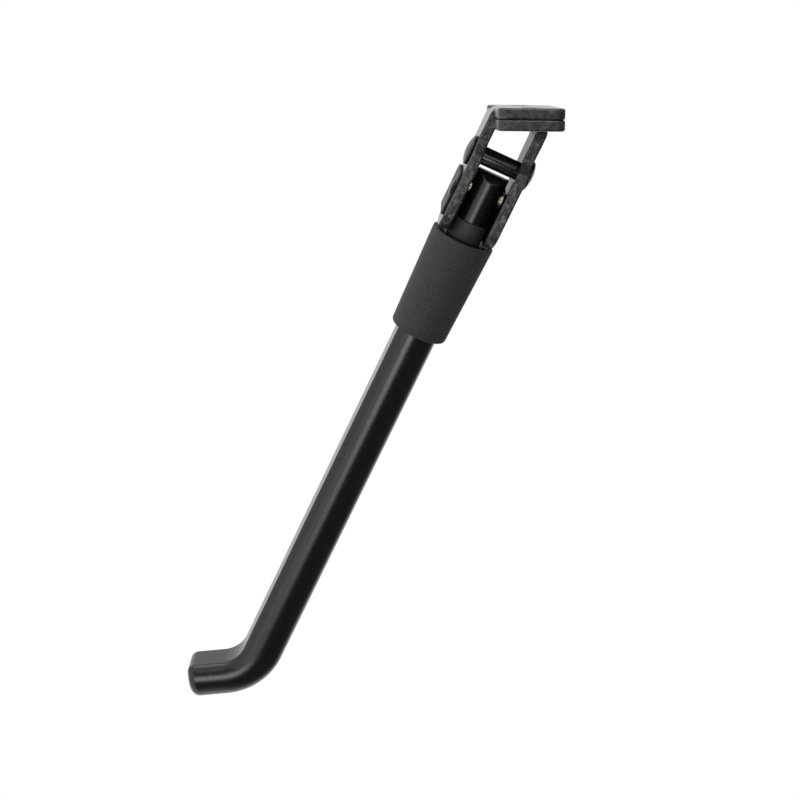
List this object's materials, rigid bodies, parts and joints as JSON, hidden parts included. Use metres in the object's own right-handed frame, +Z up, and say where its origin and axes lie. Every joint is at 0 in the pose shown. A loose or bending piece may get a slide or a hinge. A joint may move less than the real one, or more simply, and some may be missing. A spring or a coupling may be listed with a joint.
{
  "type": "electric scooter kickstand",
  "caption": "Spring-loaded side stand: folded twin-plate bracket with a screwed top flange, and a raked, flat-sided leg that swings on a cross pin and ends in a bent foot.",
  "frame": {"origin": "centre of the mounting flange's upper face, between its two screw holes", "axes": "+Z up out of the flange, +Y forwards along the scooter and through both screw holes, +X inwards, so the leg reaches down and out towards -X"},
  "size_m": [0.1019, 0.0558, 0.175],
  "materials": {
    "pressed_plate": "semi-gloss black coat on pressed steel",
    "rivet_black": "gloss black",
    "keeper_black": "satin black",
    "post_black": "gloss black, smooth turned",
    "leg_black": "satin black coat",
    "pin_steel": "plain turned",
    "spring_steel": "plain, lightly oiled",
    "spacer_brass": "plain turned",
    "bush_plastic": "matte dark grey",
    "sleeve_rubber": "matte dark grey with a fine grain"
  },
  "bodies": {
    "bracket": {"outboard_side_plate": "pressed_plate", "inboard_side_plate": "pressed_plate", "tie_rivet": "rivet_black", "pivot_pin": "pin_steel", "outboard_pivot_spacer": "spacer_brass", "inboard_pivot_spacer": "spacer_brass", "keeper_plate": "keeper_black", "keeper_rivet": "rivet_black"},
    "rod": {"spring_rod": "post_black", "compression_spring": "spring_steel", "spring_bottom_washer": "spring_steel", "rod_nut": "spring_steel"},
    "swinging_leg": {"leg": "leg_black", "neck_bush": "bush_plastic", "rubber_sleeve": "sleeve_rubber", "spring_top_washer": "spring_steel"}
  },
  "joints": [
    {"name": "leg_swing", "type": "hinge", "parent": "bracket", "child": "rod", "pos_m": [-0.0104, 0, -0.0232], "axis": [-0.915, 0, 0.4035], "range_deg": [0, 100.6]},
    {"name": "leg_pull", "type": "slide", "parent": "rod", "child": "swinging_leg", "axis": [-0.3967, 0.184, -0.8993], "range_m": [0, 0.0025], "stiffness_N_per_m": 12000, "springref_m": -0.006, "deforming": ["compression_spring"]}
  ]
}
